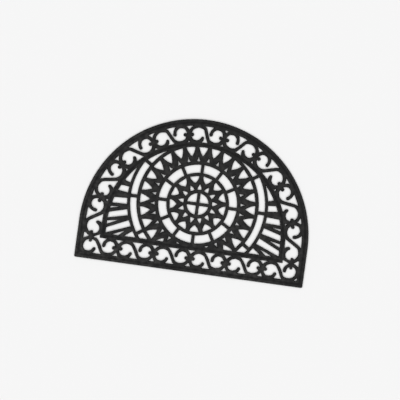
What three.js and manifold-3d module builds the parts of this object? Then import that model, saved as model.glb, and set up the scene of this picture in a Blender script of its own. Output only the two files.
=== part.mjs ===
// A half-round rubber doormat, moulded in one piece: a flat plate with a straight front edge and a
// semicircular back, pierced by a traditional openwork pattern of S-scrolls, rings and sunbursts.
// Millimetres, +Z up. The pattern is laid out with y = 0 at the front edge and x = 0 at the middle.
import * as THREE from "three";
import { mergeVertices } from "three/addons/utils/BufferGeometryUtils.js";
import Module from "manifold-3d";

const WIDTH = 600;
const DEPTH = 400;
const THICK = 8;
const HALF = WIDTH / 2;
const ARC_Y = DEPTH - HALF;
const SAGITTA = 0.28;
const ARC_STEPS = 36;

// Rim all round, and the inner frame that runs parallel to it.
const RIM = 17;
const RIM_FRONT = 15.5;
const CORNER = 4;
const EDGE_RUN = 1.6;
const EDGE_DROP = 1.4;
const FRAME_OUT = 240.3;
const FRAME_IN = 227.8;
const FRAME_FRONT_OUT = 57.5;
const FRAME_FRONT_IN = 70.5;
const FRAME_CORNER = 1;
const GROOVE_WIDE = 2.6;
const GROOVE_NARROW = 1;
const GROOVE_DEEP = 1.2;
const RIM_GROOVE = 8.6;

// Scroll band between rim and frame.
const BAND_R = (HALF - RIM + FRAME_OUT) / 2;
const BAND_Y = (RIM_FRONT + FRAME_FRONT_OUT) / 2;
const CURL_INSET = 22.4;
const BALL_R = 4.7;
const BALL_OUT = 9.2;
const CORNER_BALLS = [
  { x: -264, y: 47.8, r: 4 },
  { x: -264, y: 70.3, r: 4 },
  { x: -263, y: 59, r: 7.5 },
  { x: -280.6, y: 71.8, r: 5 },
];
const HEART_HALF = 4.3;
const BAND_CORNER = 14;
const SIDE_START = 62.5;
const SWEEP_STEP = 1.5;

// Left out of the scrolls where they meet in the corner, by the frame.
const CORNER_GAP = [
  { x: -240, y: 66.6 },
  { x: -247.5, y: 62.6 },
  { x: -256.3, y: 59.5 },
  { x: -255.9, y: 57.6 },
  { x: -251, y: 56.2 },
  { x: -240, y: 60 },
];

// A small slot beside the last curl, in the right front corner only.
const CORNER_SLOT = [
  { x: 276, y: 15.8 },
  { x: 280, y: 15.8 },
  { x: 284.5, y: 19.5 },
  { x: 283.5, y: 22.5 },
  { x: 279.5, y: 20.5 },
];

// Knots where one scroll meets the next, as distances along each path. The right side's path is the
// left side's, mirrored.
const FRONT_KNOTS = [-286.9, -191.3, -95.9, -1, 93.9, 189, 284.3];
const LEFT_KNOTS = [-2.2, 101, 203.8, 305.1, 400.6];
const RIGHT_KNOTS = [-1.9, 101.3, 203.9, 306, 402.5];
const TOP_KNOTS = [400.6, 494.5];

// Half of an S-scroll, as angle and radius round the curl's middle, with half the bar's width. The
// LONG tables end in the long hook. The SHORT ones are the other half, turned half round, with the
// short hook.
const FRONT_LONG = [
  { deg: 220, r: 22.7, half: 4.2 },
  { deg: 240, r: 21.8, half: 4.9 },
  { deg: 270, r: 19.8, half: 4.6 },
  { deg: 315, r: 19.4, half: 4.2 },
  { deg: 360, r: 20.4, half: 4.4 },
  { deg: 385, r: 21.3, half: 4.6 },
  { deg: 414, r: 21.2, half: 4.6 },
  { deg: 445, r: 20, half: 4.6 },
  { deg: 465, r: 18.2, half: 4.5 },
  { deg: 485, r: 16.4, half: 4.1 },
  { deg: 505, r: 15.3, half: 4.4 },
  { deg: 530, r: 13.8, half: 4.4 },
];
const FRONT_SHORT = [
  { deg: 220, r: 22.2, half: 4 },
  { deg: 240, r: 21.6, half: 4.6 },
  { deg: 270, r: 20.3, half: 4.1 },
  { deg: 315, r: 20, half: 4.6 },
  { deg: 360, r: 20.7, half: 4.6 },
  { deg: 385, r: 21.5, half: 4.4 },
  { deg: 414, r: 21.7, half: 4.8 },
  { deg: 445, r: 19.5, half: 4.9 },
  { deg: 470, r: 17.8, half: 4.7 },
  { deg: 492, r: 16.2, half: 4.2 },
  { deg: 508, r: 15.3, half: 4.3 },
];
const ROUND_LONG = [
  { deg: 220, r: 22.8, half: 4.8 },
  { deg: 240, r: 22, half: 5.3 },
  { deg: 270, r: 20.9, half: 5 },
  { deg: 315, r: 21.5, half: 5.3 },
  { deg: 360, r: 21.9, half: 4.8 },
  { deg: 385, r: 22.4, half: 4.5 },
  { deg: 414, r: 23.6, half: 4.7 },
  { deg: 445, r: 21.9, half: 4.5 },
  { deg: 465, r: 20, half: 4.6 },
  { deg: 485, r: 17.4, half: 4.2 },
  { deg: 505, r: 15.3, half: 4.1 },
  { deg: 530, r: 13.8, half: 4.5 },
];
const ROUND_SHORT = [
  { deg: 220, r: 24.9, half: 4.2 },
  { deg: 240, r: 23.6, half: 4.7 },
  { deg: 270, r: 21.6, half: 4.2 },
  { deg: 315, r: 19.8, half: 4.5 },
  { deg: 360, r: 20.3, half: 4.8 },
  { deg: 385, r: 21.4, half: 5.5 },
  { deg: 414, r: 22.2, half: 5.8 },
  { deg: 445, r: 20.6, half: 5.3 },
  { deg: 470, r: 19.4, half: 5.1 },
  { deg: 492, r: 18.3, half: 5 },
  { deg: 508, r: 17.1, half: 4.3 },
];

// How each row of scrolls is made: its tables, and how far the curls and balls sit below the band's
// middle line.
const FRONT_ROW = { long: FRONT_LONG, short: FRONT_SHORT, longSink: 0.3, shortSink: 1.6, ballSink: 0.5 };
const CORNER_ROW = { long: FRONT_LONG, short: FRONT_SHORT, longSink: 0.8, shortSink: 1.7 };
const ROUND_ROW = { long: ROUND_LONG, short: ROUND_SHORT, longSink: 1, shortSink: 1.3, ballSink: 1.7 };

// Medallion of rings and sunbursts.
const HUB_X = 0.2;
const HUB_Y = 179.2;
const HUB_R = 28.4;
const HUB_BAR = 8.4;
const SPOKES = 12;
const SPOKE_BAR = 8.5;
const SPOKE_IN = 81.8;
const SPOKE_OUT = 102.7;
const RING_IN = 159.5;
const RING_OUT = 175.9;
const RING_EDGE = 184;
const RING_BAR = 8.9;
const RING_BARS = [-0.4, 32.6, 147.5, 180.4, 213.6, 326.4];

// Sunburst openings: how many, the first one's angle and each one's shape.
const BOWED = [0, 0.4, 0.75];
const HOLLOW = [0, 0.4];
const SUNBURSTS = [
  { count: 13, first: 90.6, base: 37.8, tip: 52.2, half: 5.4, power: 1.5, rows: BOWED },
  { count: 13, first: 270, base: 72.7, tip: 55.4, half: 11.9, power: 1.8, rows: BOWED },
  { count: 28, first: 1.6, base: 150.3, tip: 125.1, half: 11.7, power: 1.5, rows: BOWED },
  { count: 28, first: 6.5, base: 112, tip: 126.5, half: 4.4, power: 0.45, rows: HOLLOW },
];

// Ray openings beside the medallion: the upper and lower edge at a near and a far distance from
// the middle line.
const RAYS = [
  { near: 160, far: 228, nearHigh: 262, farHigh: 262, nearLow: 204.7, farLow: 226.5 },
  { near: 180, far: 228, nearHigh: 199.6, farHigh: 204.3, nearLow: 184.1, farLow: 190.2 },
  { near: 180, far: 228, nearHigh: 170, farHigh: 167.4, nearLow: 154.6, farLow: 153 },
  { near: 203, far: 228, nearHigh: 145, farHigh: 143.4, nearLow: 144.2, farLow: 137.9 },
  { near: 172, far: 228, nearHigh: 142.8, farHigh: 127, nearLow: 126.7, farLow: 112.6 },
  { near: 200, far: 228, nearHigh: 110.3, farHigh: 104.4, nearLow: 109.5, farLow: 96 },
  { near: 160, far: 228, nearHigh: 118.2, farHigh: 86.5, nearLow: 100.1, farLow: 73.2 },
  { near: 179, far: 210, nearHigh: 84.2, farHigh: 70.7, nearLow: 83.2, farLow: 57 },
  { near: 145, far: 182, nearHigh: 95.2, farHigh: 67.9, nearLow: 60, farLow: 60 },
];

const wasm = await Module();
wasm.setup();

const rad = THREE.MathUtils.degToRad;
const at = (x, y) => new THREE.Vector2(x, y);
const polar = (x, y, r, deg) => at(x + r * Math.cos(rad(deg)), y + r * Math.sin(rad(deg)));

// Points along an arc, as many as keep the chords within SAGITTA of it.
function arc(x, y, r, from, to) {
  const turn = 2 * Math.acos(1 - SAGITTA / r) * THREE.MathUtils.RAD2DEG;
  const count = Math.max(2, Math.ceil(Math.abs(to - from) / turn));
  return Array.from({ length: count + 1 }, (_, i) => polar(x, y, r, from + ((to - from) * i) / count));
}

// A half-round loop: semicircle of radius half, straight sides, straight front at y = front.
function dLoop(half, front, corner) {
  const right = [-90, -45, 0].map((deg) => polar(half - corner, front + corner, corner, deg));
  const left = [180, 225, 270].map((deg) => polar(corner - half, front + corner, corner, deg));
  const turn = 180 / ARC_STEPS;
  const back = Array.from({ length: ARC_STEPS + 1 }, (_, i) => polar(0, ARC_Y, half, turn * i));
  return [...right, ...back, ...left];
}

// Drops the points of a path that lie within SAGITTA of the line between those kept.
function thin(points) {
  const first = points[0];
  const last = points[points.length - 1];
  const along = last.clone().sub(first);
  const away = (p) => Math.abs(p.clone().sub(first).cross(along)) / along.length();
  let far = 0;
  for (let i = 1; i < points.length - 1; i++) {
    if (away(points[i]) > away(points[far])) far = i;
  }
  if (far === 0 || away(points[far]) < SAGITTA) return [first, last];
  return [...thin(points.slice(0, far + 1)), ...thin(points.slice(far)).slice(1)];
}

function solid(geometry) {
  geometry.deleteAttribute("normal");
  geometry.deleteAttribute("uv");
  const merged = mergeVertices(geometry, 1e-4);
  const vertProperties = new Float32Array(merged.attributes.position.array);
  const triVerts = new Uint32Array(merged.index.array);
  return new wasm.Manifold(new wasm.Mesh({ numProp: 3, vertProperties, triVerts }));
}

// An upright prism that stands out past both faces of the mat by the margin.
function prism(points, margin = 1) {
  const shape = new THREE.Shape(points);
  const body = new THREE.ExtrudeGeometry(shape, { depth: THICK + 2 * margin, bevelEnabled: false });
  return solid(body.translate(0, 0, -margin));
}

// A prism from a table of corners.
const outlinePrism = (corners, margin) => prism(corners.map(({ x, y }) => at(x, y)), margin);

const joined = (solids) => solids.reduce((all, next) => all.add(next));

// Skins a stack of matching loops: an open stack is capped, a closed one returns to its first loop.
function skin(loops, closed) {
  const size = loops[0].points.length;
  const positions = loops.flatMap(({ points, z }) => points.flatMap((p) => [p.x, p.y, z]));
  const index = [];
  const last = closed ? loops.length : loops.length - 1;
  for (let k = 0; k < last; k++) {
    const low = k * size;
    const high = ((k + 1) % loops.length) * size;
    for (let i = 0; i < size; i++) {
      const j = (i + 1) % size;
      index.push(low + i, low + j, high + j, low + i, high + j, high + i);
    }
  }
  if (!closed) {
    const top = (loops.length - 1) * size;
    for (const [a, b, c] of THREE.ShapeUtils.triangulateShape(loops[0].points, [])) {
      index.push(a, c, b, top + a, top + b, top + c);
    }
  }
  const geometry = new THREE.BufferGeometry();
  geometry.setAttribute("position", new THREE.Float32BufferAttribute(positions, 3));
  geometry.setIndex(index);
  return solid(geometry);
}

// The plain plate, its upper edge eased off all round.
function plate() {
  const outline = dLoop(HALF, 0, CORNER);
  const inset = dLoop(HALF - EDGE_RUN, EDGE_RUN, CORNER - EDGE_RUN);
  return skin([
    { points: outline, z: 0 },
    { points: outline, z: THICK - EDGE_DROP },
    { points: inset, z: THICK },
  ], false);
}

// A shallow groove that follows the outline, at the given half width and front distance.
function groove(half, front) {
  const loop = (shift, z) => ({ points: dLoop(half - shift, front + shift, CORNER), z });
  const flare = (GROOVE_WIDE - GROOVE_NARROW) / 2 / GROOVE_DEEP;
  const wide = GROOVE_WIDE / 2 + flare;
  return skin([
    loop(-GROOVE_NARROW / 2, THICK - GROOVE_DEEP),
    loop(-wide, THICK + 1),
    loop(wide, THICK + 1),
    loop(GROOVE_NARROW / 2, THICK - GROOVE_DEEP),
  ], true);
}

// Middle line of a whole scroll, from the short hook to the long one, in band coordinates: x along
// the band from the scroll's middle and y across it.
function scrollRail(length, { long, short, longSink, shortSink }) {
  const middle = length / 2 - CURL_INSET;
  const along = (rows, sink, turn) => rows.map(({ deg, r, half }) => {
    const p = polar(middle, sink, r, deg).multiplyScalar(turn);
    return new THREE.Vector3(p.x, p.y, half);
  });
  const heart = new THREE.Vector3(0, 0, HEART_HALF);
  return [...along(short, shortSink, -1).reverse(), heart, ...along(long, -longSink, 1)];
}

// Outline of the bar along a rail whose z is half the bar's width, with round ends.
function barOutline(rail) {
  const line = new THREE.CatmullRomCurve3(rail, false, "centripetal");
  const count = Math.round(line.getLength() / SWEEP_STEP);
  const left = [];
  const right = [];
  for (let i = 0; i <= count; i++) {
    const p = line.getPointAt(i / count);
    const t = line.getTangentAt(i / count);
    const side = at(-t.y, t.x).setLength(p.z);
    left.push(at(p.x + side.x, p.y + side.y));
    right.push(at(p.x - side.x, p.y - side.y));
  }
  const cap = (share, turn) => {
    const p = line.getPointAt(share);
    const t = line.getTangentAt(share);
    const ahead = Math.atan2(t.y * turn, t.x * turn) * THREE.MathUtils.RAD2DEG;
    return [-50, 0, 50].map((deg) => polar(p.x, p.y, p.z, ahead + deg));
  };
  return [...thin(right), ...cap(1, 1), ...thin(left.reverse()), ...cap(0, -1)];
}

// Band paths: a point at distance s along and v across becomes a point on the mat.
const front = (s, v) => at(s, BAND_Y + v);
function round(s, v) {
  const straight = ARC_Y - SIDE_START;
  if (s < straight) return at(-BAND_R - v, ARC_Y - straight + s);
  return polar(0, ARC_Y, BAND_R + v, 180 - ((s - straight) / BAND_R) * THREE.MathUtils.RAD2DEG);
}

function scrolls(knots, path, row) {
  return knots.slice(1).map((end, i) => {
    const middle = (knots[i] + end) / 2;
    const outline = barOutline(scrollRail(end - knots[i], row));
    return prism(outline.map((p) => path(middle + p.x, p.y)));
  });
}

function ball(p, r = BALL_R) {
  return prism(arc(p.x, p.y, r, 0, 360).slice(1));
}

// A mirrored copy across the middle line.
const mirrored = (shape) => shape.scale([-1, 1, 1]);

function knotBalls(knots, path, { ballSink }) {
  return knots.flatMap((knot) => [-BALL_OUT, BALL_OUT].map((shift) => ball(path(knot + shift, -ballSink))));
}

// The scrolls and balls of one side of the round band, laid out on the left.
function roundSide(knots) {
  return joined([
    ...scrolls(knots, round, ROUND_ROW),
    ...knotBalls(knots.slice(1), round, ROUND_ROW),
    ...CORNER_BALLS.map(({ x, y, r }) => ball(at(x, y), r)),
  ]);
}

function scrollBand() {
  const row = [
    ...scrolls(FRONT_KNOTS.slice(0, -1), front, FRONT_ROW),
    ...scrolls(FRONT_KNOTS.slice(-2), front, CORNER_ROW),
    ...knotBalls(FRONT_KNOTS.slice(1, -1), front, FRONT_ROW),
  ];
  const top = scrolls(TOP_KNOTS, round, ROUND_ROW);
  const gap = outlinePrism(CORNER_GAP, 2);
  return joined([...row, roundSide(LEFT_KNOTS), mirrored(roundSide(RIGHT_KNOTS)), ...top])
    .subtract(gap)
    .subtract(mirrored(gap));
}

// The open band before the scrolls are laid in it.
function bandSpace() {
  const outer = prism(dLoop(HALF - RIM, RIM_FRONT, BAND_CORNER));
  return outer.subtract(prism(dLoop(FRAME_OUT, FRAME_FRONT_OUT, FRAME_CORNER), 2));
}

// A pointed opening with bowed sides, from its base radius to its tip, half wide at the base.
function arch({ base, tip, half, power, rows }, deg) {
  const point = (t, sign) => {
    const r = base + (tip - base) * t;
    const p = at(r, sign * half * (1 - t ** power)).rotateAround(at(0, 0), rad(deg));
    return at(p.x + HUB_X, p.y + HUB_Y);
  };
  const one = rows.map((t) => point(t, 1));
  const other = rows.map((t) => point(t, -1)).reverse();
  return prism([...one, point(1, 0), ...other]);
}

// A curved slot between two bars of one width that run out from the medallion's middle.
function slot(inner, outer, from, to, bar) {
  const cut = (r) => Math.asin(bar / 2 / r) * THREE.MathUtils.RAD2DEG;
  const near = arc(HUB_X, HUB_Y, inner, from + cut(inner), to - cut(inner));
  const far = arc(HUB_X, HUB_Y, outer, from + cut(outer), to - cut(outer));
  return prism([...far, ...near.reverse()]);
}

function medallion() {
  const cuts = [];
  const bar = HUB_BAR / 2;
  const lean = Math.asin(bar / HUB_R) * THREE.MathUtils.RAD2DEG;
  for (let k = 0; k < 4; k++) {
    const corner = polar(HUB_X, HUB_Y, bar * Math.SQRT2, 45 + 90 * k);
    cuts.push(prism([corner, ...arc(HUB_X, HUB_Y, HUB_R, 90 * k + lean, 90 * k + 90 - lean)]));
  }
  for (const ring of SUNBURSTS) {
    for (let k = 0; k < ring.count; k++) cuts.push(arch(ring, ring.first + (360 / ring.count) * k));
  }
  for (let k = 0; k < SPOKES; k++) {
    cuts.push(slot(SPOKE_IN, SPOKE_OUT, 30 * k, 30 * k + 30, SPOKE_BAR));
  }
  RING_BARS.forEach((from, i) => {
    const to = i + 1 < RING_BARS.length ? RING_BARS[i + 1] : RING_BARS[0] + 360;
    cuts.push(slot(RING_IN, RING_OUT, from, to, RING_BAR));
  });
  const fan = RAYS.map(({ near, far, nearHigh, farHigh, nearLow, farLow }) => prism([
    at(near, nearLow), at(far, farLow), at(far, farHigh), at(near, nearHigh),
  ]));
  const disc = prism(arc(HUB_X, HUB_Y, RING_EDGE, 0, 360).slice(1), 2);
  const rays = joined([...fan, ...fan.map(mirrored)]).subtract(disc);
  const inside = prism(dLoop(FRAME_IN, FRAME_FRONT_IN, FRAME_CORNER), 2);
  return joined([...cuts, rays]).intersect(inside);
}

const body = plate()
  .subtract(bandSpace().subtract(scrollBand()))
  .subtract(medallion())
  .subtract(outlinePrism(CORNER_SLOT))
  .subtract(groove(HALF - RIM_GROOVE, RIM_GROOVE))
  .subtract(groove((FRAME_OUT + FRAME_IN) / 2, (FRAME_FRONT_OUT + FRAME_FRONT_IN) / 2));

const mesh = body.getMesh();
const geometry = new THREE.BufferGeometry();
geometry.setAttribute("position", new THREE.BufferAttribute(new Float32Array(mesh.vertProperties), 3));
geometry.setIndex(new THREE.BufferAttribute(new Uint32Array(mesh.triVerts), 1));

const rubber = new THREE.MeshStandardMaterial({ color: 0x2b2b2b, roughness: 0.78, metalness: 0 });
const mat = new THREE.Mesh(geometry, rubber);
mat.name = "mat";
mat.position.set(0, -DEPTH / 2, 0);

const doormat = new THREE.Group();
doormat.add(mat);

export default doormat;
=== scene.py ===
"""A half-round rubber doormat with an openwork pattern, seen straight from above on a pale floor."""
import math

import bpy
import numpy as np
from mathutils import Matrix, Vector
from mathutils.bvhtree import BVHTree
from mathutils.geometry import delaunay_2d_cdt


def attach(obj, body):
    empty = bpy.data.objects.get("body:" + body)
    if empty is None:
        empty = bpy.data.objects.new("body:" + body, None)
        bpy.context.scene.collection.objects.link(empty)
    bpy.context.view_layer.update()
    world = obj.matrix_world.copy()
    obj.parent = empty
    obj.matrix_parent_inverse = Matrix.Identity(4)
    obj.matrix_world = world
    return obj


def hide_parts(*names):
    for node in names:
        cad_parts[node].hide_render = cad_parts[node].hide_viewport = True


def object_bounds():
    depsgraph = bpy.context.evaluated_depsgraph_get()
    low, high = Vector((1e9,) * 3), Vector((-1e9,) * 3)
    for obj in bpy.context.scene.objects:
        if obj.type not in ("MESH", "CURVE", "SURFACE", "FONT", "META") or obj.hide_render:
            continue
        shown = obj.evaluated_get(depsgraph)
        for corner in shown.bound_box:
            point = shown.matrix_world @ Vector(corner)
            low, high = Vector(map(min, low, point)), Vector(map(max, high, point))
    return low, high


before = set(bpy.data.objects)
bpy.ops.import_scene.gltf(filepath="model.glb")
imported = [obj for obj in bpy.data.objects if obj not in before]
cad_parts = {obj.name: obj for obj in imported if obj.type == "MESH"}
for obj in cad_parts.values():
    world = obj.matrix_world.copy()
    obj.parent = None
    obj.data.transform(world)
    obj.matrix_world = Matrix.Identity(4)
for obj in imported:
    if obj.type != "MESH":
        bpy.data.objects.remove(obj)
cad_low, cad_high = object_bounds()

# The camera hangs straight above the mat. The photo is 400 pixels square, and the mat lies in it
# turned clockwise by TURN, 230.5 pixels wide, with its middle at MAT_PIXEL.
PHOTO_SIDE = 400
MAT_WIDTH_PIXELS = 230.5
MAT_PIXEL = (198.64, 196.22)
TURN = math.radians(7.93)
CAMERA_HEIGHT = 3.0
SENSOR = 36.0

pixel = (cad_high.x - cad_low.x) / MAT_WIDTH_PIXELS
right = Vector((math.cos(TURN), math.sin(TURN), 0))
up = Vector((-math.sin(TURN), math.cos(TURN), 0))
aside = (PHOTO_SIDE / 2 - MAT_PIXEL[0]) * pixel
above = (MAT_PIXEL[1] - PHOTO_SIDE / 2) * pixel
camera_data = bpy.data.cameras.new("camera")
camera_data.sensor_width = SENSOR
camera_data.lens = SENSOR * (CAMERA_HEIGHT - cad_high.z) / (PHOTO_SIDE * pixel)
camera = bpy.data.objects.new("camera", camera_data)
camera.location = right * aside + up * above + Vector((0, 0, CAMERA_HEIGHT))
camera.rotation_euler = (0, 0, TURN)
bpy.context.scene.collection.objects.link(camera)
bpy.context.scene.camera = camera

# The mat is one piece of black rubber, pressed in a mould: the plate, its grooved rim and every bar
# of the pattern come out of the mould together. The outlines of the openings are those of the
# frame's solid, with the facets of their bends rounded out again, and its upper edges are eased.
THICK = cad_high.z
SHARP_EDGE = math.radians(45)
half_width = cad_high.x
round_y = cad_high.y - half_width

# Reading the solid's outlines, and telling their corners, bends and straight sides apart.
FLAT = 1e-5
MERGE = 1e-6
SHORTEST_SIDE = 0.0003
CORNER_TURN = math.radians(55)
CORNER_BULGE = 0.00045
STRAIGHT_BEND = math.radians(1.5)

# How far a corner is cut back and rounded, and how finely a bend is stepped.
CORNER_CUT = 0.0012
CORNER_SHARE = 0.45
CORNER_STEPS = (0, 0.35, 0.65, 1)
ARC_BULGE = 0.00003
STEP_MIN = 0.0009
STEP_MAX = 0.004
SHORTEST_STEP = 0.00005

# The eased upper edge, and how far in its rows of points lie.
EASE_RUN = 0.0024
EASE_DROP = 0.0015
EASE_ROWS = (0.00015, 0.0005, 0.0011, 0.0024)
CLEAR_SHARE = 0.97

# The grooves: how far inside the mat's edge they run, and the inner one's distance at the front.
RIM_GROOVE = 0.0086
FRAME_GROOVE = 0.06595
FRAME_GROOVE_FRONT = 0.064
GROOVE_DEEP = 0.0012
GROOVE_HALF = 0.0024
GROOVE_ROWS = (-1, -0.67, -0.33, 0, 0.33, 0.67, 1)
GROOVES = ((RIM_GROOVE, cad_low.y), (FRAME_GROOVE, cad_low.y + FRAME_GROOVE_FRONT - FRAME_GROOVE))


def outline_loops(mesh):
    """Closed outlines of the faces that lie on the floor, with the rubber on their left."""
    number = {}
    places = []
    spot = []
    for vertex in mesh.vertices:
        key = tuple(round(c / MERGE) for c in vertex.co)
        if key not in number:
            number[key] = len(places)
            places.append((vertex.co.x, vertex.co.y))
        spot.append(number[key])
    sides = set()
    for face in mesh.polygons:
        if all(mesh.vertices[i].co.z < FLAT for i in face.vertices):
            ring = [spot[i] for i in reversed(face.vertices)]
            sides.update(zip(ring, ring[1:] + ring[:1]))
    following = {a: b for a, b in sides if (b, a) not in sides}
    loops = []
    while following:
        start = min(following)
        loop = [start]
        at = following.pop(start)
        while at != start:
            loop.append(at)
            at = following.pop(at)
        points = np.array([places[i] for i in loop])
        apart = np.linalg.norm(points - np.roll(points, 1, axis=0), axis=1) > SHORTEST_SIDE
        loops.append(points[apart])
    return loops


def place_before(a, b, c):
    """The point that leads into a and b on the arc through the three, which is c mirrored."""
    along = (b - a) / np.linalg.norm(b - a)
    return c - 2 * np.dot(c - (a + b) / 2, along) * along


def spline_points(p0, p1, p2, p3, count):
    """Points from p1 towards p2, p2 left out, on the centripetal spline through the four."""
    t1 = np.linalg.norm(p1 - p0) ** 0.5
    t2 = t1 + np.linalg.norm(p2 - p1) ** 0.5
    t3 = t2 + np.linalg.norm(p3 - p2) ** 0.5
    points = []
    for t in t1 + (t2 - t1) * np.arange(count) / count:
        a1 = (p0 * (t1 - t) + p1 * t) / t1
        a2 = (p1 * (t2 - t) + p2 * (t - t1)) / (t2 - t1)
        a3 = (p2 * (t3 - t) + p3 * (t - t2)) / (t3 - t2)
        b1 = (a1 * (t2 - t) + a2 * t) / t2
        b2 = (a2 * (t3 - t) + a3 * (t - t1)) / (t3 - t1)
        points.append((b1 * (t2 - t) + b2 * (t - t1)) / (t2 - t1))
    return points


def smoothed(loop):
    """Points along the loop with its bends smooth again, and which of them are sharp corners."""
    size = len(loop)
    after = np.roll(loop, -1, axis=0) - loop
    before = np.roll(after, 1, axis=0)
    lengths = np.linalg.norm(after, axis=1)
    cross = before[:, 0] * after[:, 1] - before[:, 1] * after[:, 0]
    turn = np.abs(np.arctan2(cross, (before * after).sum(axis=1)))
    shorter = np.minimum(lengths, np.roll(lengths, 1))
    sharp = (turn > CORNER_TURN) | (shorter * np.tan(turn / 4) / 2 > CORNER_BULGE)
    bend = np.where(sharp, 0, turn)
    bend = np.maximum(bend, np.roll(bend, -1))
    straight = (lengths * np.tan(bend / 4) / 2 > CORNER_BULGE) | (bend < STRAIGHT_BEND)
    points = []
    corner = []
    for i in range(size):
        j = (i + 1) % size
        a, b = loop[i], loop[j]
        ends = sharp[i] or straight[i - 1], sharp[j] or straight[j]
        step = np.sqrt(8 * ARC_BULGE * lengths[i] / max(bend[i], STRAIGHT_BEND))
        count = max(2, round(lengths[i] / np.clip(step, STEP_MIN, STEP_MAX)))
        if straight[i] or all(ends):
            side = [a + (b - a) * k / count for k in range(count)]
        else:
            lead = place_before(a, b, loop[(j + 1) % size]) if ends[0] else loop[i - 1]
            follow = place_before(b, a, lead) if ends[1] else loop[(j + 1) % size]
            side = spline_points(lead, a, b, follow, count)
        points += side
        corner += [sharp[i]] + [False] * (len(side) - 1)
    return points, corner


def rounded(loop):
    """The loop with its bends smooth again and its sharp corners slightly rounded."""
    points, corner = smoothed(loop)
    outline = []
    for k, point in enumerate(points):
        if not corner[k]:
            outline.append(point)
            continue
        back = points[k - 1] - point
        ahead = points[(k + 1) % len(points)] - point
        back = back * min(CORNER_CUT / np.linalg.norm(back), CORNER_SHARE)
        ahead = ahead * min(CORNER_CUT / np.linalg.norm(ahead), CORNER_SHARE)
        outline += [point + back * (1 - t) ** 2 + ahead * t ** 2 for t in CORNER_STEPS]
    outline = np.array(outline)
    apart = np.linalg.norm(outline - np.roll(outline, 1, axis=0), axis=1) > SHORTEST_STEP
    return outline[apart]


def inset(x, y, front):
    """How far a point lies inside the half-round outline whose front edge is at y = front."""
    side = half_width - (math.hypot(x, y - round_y) if y > round_y else abs(x))
    return min(side, y - front)


def half_round(depth, front):
    """A half-round loop that lies depth inside the outline whose front edge is at y = front."""
    half = half_width - depth
    low = front + depth
    count = round(math.pi * half / STEP_MAX)
    loop = [(half * math.cos(math.pi * i / count), round_y + half * math.sin(math.pi * i / count))
            for i in range(count + 1)]
    rows = math.ceil((round_y - low) / STEP_MAX)
    side = [low + (round_y - low) * i / rows for i in range(rows)]
    columns = math.ceil(2 * half / STEP_MAX)
    loop += [(-half, y) for y in reversed(side)]
    loop += [(half * (2 * i / columns - 1), low) for i in range(1, columns)]
    return loop + [(half, y) for y in side]


def triangles(points, chains, outlines):
    """Triangles that fill the rubber between the outlines, with every chain's sides among them."""
    flat = [Vector(p) for p in points]
    made, _, faces, came_from, _, _ = delaunay_2d_cdt(flat, chains + outlines, [], 0, MERGE)
    now = {old: new for new, olds in enumerate(came_from) for old in olds}
    border = {(now[a], now[b]) for a, b in outlines}
    owner = {}
    for number, ring in enumerate(faces):
        owner.update({side: number for side in zip(ring, ring[1:] + ring[:1])})
    kept = {owner[side] for side in border}
    queue = list(kept)
    while queue:
        ring = faces[queue.pop()]
        for a, b in zip(ring, ring[1:] + ring[:1]):
            beyond = owner.get((b, a))
            if beyond is not None and beyond not in kept and (a, b) not in border:
                kept.add(beyond)
                queue.append(beyond)
    return made, [faces[number] for number in sorted(kept)], now


outlines = [rounded(loop) for loop in outline_loops(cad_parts["mat"].data)]
points = [tuple(p) for outline in outlines for p in outline]
edge_size = len(points)
sides = []
for outline in outlines:
    start, size = len(sides), len(outline)
    sides += [(start + i, start + (i + 1) % size) for i in range(size)]

# A wall stands on each outline, for measuring how far any point of the top is from the edge.
wall_points = [(x, y, z) for z in (-1, 1) for x, y in points]
wall_faces = [(a, b, b + edge_size, a + edge_size) for a, b in sides]
walls = BVHTree.FromPolygons(wall_points, wall_faces)

# The top's points stand in rows along each outline and along each groove.
chains = []


def add_row(row, clear):
    """Adds a closed row of points, without those nearer than clear to an outline's wall."""
    numbers = []
    for x, y in row:
        near = walls.find_nearest((x, y, 0))[3] < clear
        numbers.append(None if near else len(points))
        if not near:
            points.append((x, y))
    linked = zip(numbers, numbers[1:] + numbers[:1])
    chains.extend((a, b) for a, b in linked if a is not None and b is not None)


for outline in outlines:
    along = np.roll(outline, -1, axis=0) - np.roll(outline, 1, axis=0)
    inward = np.stack([-along[:, 1], along[:, 0]], axis=1)
    inward /= np.linalg.norm(inward, axis=1, keepdims=True)
    for away in EASE_ROWS:
        add_row([tuple(p) for p in outline + inward * away], away * CLEAR_SHARE)
for depth, front in GROOVES:
    for row in GROOVE_ROWS:
        add_row(half_round(depth + row * GROOVE_HALF, front), 0)


def height(x, y):
    """The top's height: eased down towards the edges, with the grooves pressed in."""
    away = min(walls.find_nearest((x, y, 0))[3] / EASE_RUN, 1)
    z = THICK - EASE_DROP * (1 - math.sqrt(1 - (1 - away) ** 2))
    for depth, front in GROOVES:
        aside = min(abs(inset(x, y, front) - depth) / GROOVE_HALF, 1)
        z -= GROOVE_DEEP * (1 + math.cos(math.pi * aside)) / 2
    return z


top, top_faces, on_top = triangles(points, chains, sides)
used = sorted({i for ring in top_faces for i in ring})
place = {number: i for i, number in enumerate(used)}
vertices = [(*top[i], height(*top[i])) for i in used]
faces = [[place[i] for i in ring] for ring in top_faces]
upper = [place[on_top[i]] for i in range(edge_size)]
lower = [len(vertices) + i for i in range(edge_size)]
vertices += [(x, y, 0) for x, y in points[:edge_size]]
faces += [(lower[a], lower[b], upper[b], upper[a]) for a, b in sides]
_, under_faces, on_under = triangles(points[:edge_size], [], sides)
back = {number: i for i, number in on_under.items()}
faces += [[lower[back[i]] for i in reversed(ring)] for ring in under_faces]

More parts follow.
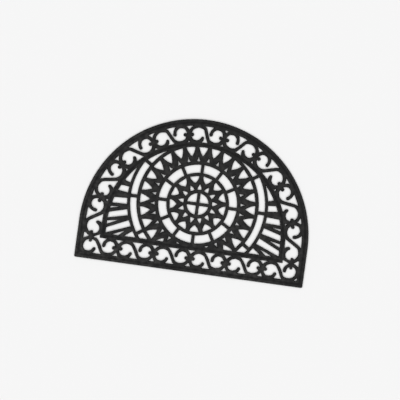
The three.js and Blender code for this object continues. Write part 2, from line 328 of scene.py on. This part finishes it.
mat_mesh = bpy.data.meshes.new("rubber_mat")
mat_mesh.from_pydata(vertices, [], faces)
mat_mesh.shade_smooth()
mat_mesh.set_sharp_from_angle(angle=SHARP_EDGE)
mat = bpy.data.objects.new("rubber_mat", mat_mesh)
bpy.context.scene.collection.objects.link(mat)

# Black rubber with the dull, finely pebbled skin that the mould gives it. The level faces take a
# lighter, dusty tone in patches, partly dry dusting and partly painted light from above, and lighter
# still towards the straight side and the left. Feet scuff the upper edges here and there. The eased
# edges and walls get painted shade.
# The clean black is also the painted shade of the eased edges and the walls.
SHADED_CLEAN_BLACK = (0.0022, 0.0022, 0.0024, 1)
DUSTY_BLACK = (0.06, 0.0587, 0.0566, 1)
WORN_BLACK = (0.022, 0.0215, 0.021, 1)
SHEEN = 0.17
CLEAN_ROUGH = 0.6
DUSTY_ROUGH = 0.84
FULL_DUST = 0.8
PEBBLES = 1000
PEBBLE_REACH = 0.8
PEBBLE_HEIGHT = 0.00014
# The facing range sets where the lighter dusty tone gives way to the painted shade of sloped faces.
DUST_AND_SHADE_FACING = (0.84, 0.985)
DUSTY_SKIN = (0.1, 0.8)
LEAST_ON_SKIN = 0.55
# The next three set a tone that grows lighter towards the straight side and the left.
LIGHTER_WAY = (-0.45, -1, 0)
LIGHTER_REACH = (-0.27, 0.28)
LEAST_LIGHTER = 0.3
SCUFFED_FACING = (0.96, 0.72)
SCUFFED_HEIGHTS = (THICK - 0.0012, THICK - 0.0005)
# Noises over the mat: bumps to the metre, fineness, the range kept and what its low end becomes.
PATCHES = {"scale": 14, "detail": 3, "low": 0.35, "high": 0.65, "least": 0.35}
MOTTLES = {"scale": 95, "detail": 5, "low": 0.4, "high": 0.66, "least": 0}
SCUFFS = {"scale": 420, "detail": 4, "low": 0.5, "high": 0.66, "least": 0}
GRIT = {"scale": 3000, "detail": 2, "low": 0.3, "high": 0.7, "least": 0.55}

rubber = bpy.data.materials.new("black_rubber")
rubber.use_nodes = True
nodes, links = rubber.node_tree.nodes, rubber.node_tree.links
shader = nodes["Principled BSDF"]
shader.inputs["Specular IOR Level"].default_value = SHEEN
place_on_mat = nodes.new("ShaderNodeTexCoord").outputs["Object"]


def ranged(value, from_low, from_high, to_low=0, to_high=1):
    """The value moved from one range to another, kept inside it."""
    change = nodes.new("ShaderNodeMapRange")
    limits = (from_low, from_high, to_low, to_high)
    for socket, limit in zip(("From Min", "From Max", "To Min", "To Max"), limits):
        change.inputs[socket].default_value = limit
    links.new(value, change.inputs["Value"])
    return change.outputs["Result"]


def noise(scale, detail, low, high, least):
    """A soft noise over the mat, from least to one."""
    texture = nodes.new("ShaderNodeTexNoise")
    texture.inputs["Scale"].default_value = scale
    texture.inputs["Detail"].default_value = detail
    links.new(place_on_mat, texture.inputs["Vector"])
    return ranged(texture.outputs["Fac"], low, high, least)


def times(a, b):
    """One value multiplied by another."""
    product = nodes.new("ShaderNodeMath")
    product.operation = "MULTIPLY"
    links.new(a, product.inputs[0])
    links.new(b, product.inputs[1])
    return product.outputs["Value"]


def mixed(a, b, share):
    """Colour a turned into colour b by the share."""
    mix = nodes.new("ShaderNodeMix")
    mix.data_type = "RGBA"
    for colour, socket in ((a, "A"), (b, "B")):
        if isinstance(colour, tuple):
            mix.inputs[socket].default_value = colour
        else:
            links.new(colour, mix.inputs[socket])
    links.new(share, mix.inputs["Factor"])
    return mix.outputs["Result"]


cells = nodes.new("ShaderNodeTexVoronoi")
cells.inputs["Scale"].default_value = PEBBLES
links.new(place_on_mat, cells.inputs["Vector"])
pebbles = ranged(cells.outputs["Distance"], 0, PEBBLE_REACH, 1, 0)
skin = times(pebbles, noise(**GRIT))

facing = nodes.new("ShaderNodeSeparateXYZ")
links.new(nodes.new("ShaderNodeNewGeometry").outputs["Normal"], facing.inputs["Vector"])
# Faces that look up get the lighter tone, sloped edges and walls the darker: dusty patches and
# painted shade in one mask.
level = ranged(facing.outputs["Z"], *DUST_AND_SHADE_FACING)
across = nodes.new("ShaderNodeVectorMath")
across.operation = "DOT_PRODUCT"
across.inputs[1].default_value = LIGHTER_WAY
links.new(place_on_mat, across.inputs[0])
# Lighter towards the straight side and the left.
lighter_front_left = ranged(across.outputs["Value"], *LIGHTER_REACH, LEAST_LIGHTER)
# The mask below joins the dusty patches with the painted shade of sloped faces.
dust_and_shade = times(times(level, lighter_front_left), times(noise(**PATCHES), noise(**MOTTLES)))
dust_and_shade = times(dust_and_shade, ranged(skin, *DUSTY_SKIN, LEAST_ON_SKIN))

axes = nodes.new("ShaderNodeSeparateXYZ")
links.new(place_on_mat, axes.inputs["Vector"])
upper_edges = times(ranged(axes.outputs["Z"], *SCUFFED_HEIGHTS),
                    ranged(facing.outputs["Z"], *SCUFFED_FACING))
worn = times(upper_edges, noise(**SCUFFS))

# Clean black on the sloped faces and walls is painted shade; dusty black and scuffs are the rubber's
# own.
tone = mixed(mixed(SHADED_CLEAN_BLACK, DUSTY_BLACK, dust_and_shade), WORN_BLACK, worn)
links.new(tone, shader.inputs["Base Color"])
links.new(ranged(dust_and_shade, 0, FULL_DUST, CLEAN_ROUGH, DUSTY_ROUGH), shader.inputs["Roughness"])
bump = nodes.new("ShaderNodeBump")
bump.inputs["Distance"].default_value = PEBBLE_HEIGHT
links.new(skin, bump.inputs["Height"])
links.new(bump.outputs["Normal"], shader.inputs["Normal"])
mat_mesh.materials.append(rubber)

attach(mat, "root")
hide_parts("mat")

# The floor is a plain, pale sheet that runs far past the picture.
FLOOR_HALF = 20
FLOOR_GAP = 0.0001
FLOOR_TONE = (0.771, 0.771, 0.771, 1)
FLOOR_ROUGH = 0.9

floor_mesh = bpy.data.meshes.new("floor")
corners = [(-1, -1), (1, -1), (1, 1), (-1, 1)]
floor_mesh.from_pydata([(x * FLOOR_HALF, y * FLOOR_HALF, 0) for x, y in corners], [], [(0, 1, 2, 3)])
floor = bpy.data.objects.new("floor", floor_mesh)
floor.location.z = cad_low.z - FLOOR_GAP
bpy.context.scene.collection.objects.link(floor)
pale = bpy.data.materials.new("pale_floor")
pale.use_nodes = True
paint = pale.node_tree.nodes["Principled BSDF"]
paint.inputs["Base Color"].default_value = FLOOR_TONE
paint.inputs["Roughness"].default_value = FLOOR_ROUGH
paint.inputs["Specular IOR Level"].default_value = 0
floor_mesh.materials.append(pale)

# A broad softbox hangs over the mat, and a little light comes from the white room all round.
ROOM_LIGHT = 0.15
SOFTBOX_ANGLE = math.radians(70)
SOFTBOX_LIGHT = 3.3
SOFTBOX_LEAN = (math.radians(4), 0, 0)

world = bpy.data.worlds.new("studio")
bpy.context.scene.world = world
world.use_nodes = True
room = world.node_tree.nodes["Background"]
room.inputs["Color"].default_value = (1, 1, 1, 1)
room.inputs["Strength"].default_value = ROOM_LIGHT
softbox_data = bpy.data.lights.new("softbox", "SUN")
softbox_data.angle = SOFTBOX_ANGLE
softbox_data.energy = SOFTBOX_LIGHT
softbox = bpy.data.objects.new("softbox", softbox_data)
softbox.rotation_euler = SOFTBOX_LEAN
bpy.context.scene.collection.objects.link(softbox)
bpy.context.scene.view_settings.view_transform = "Standard"
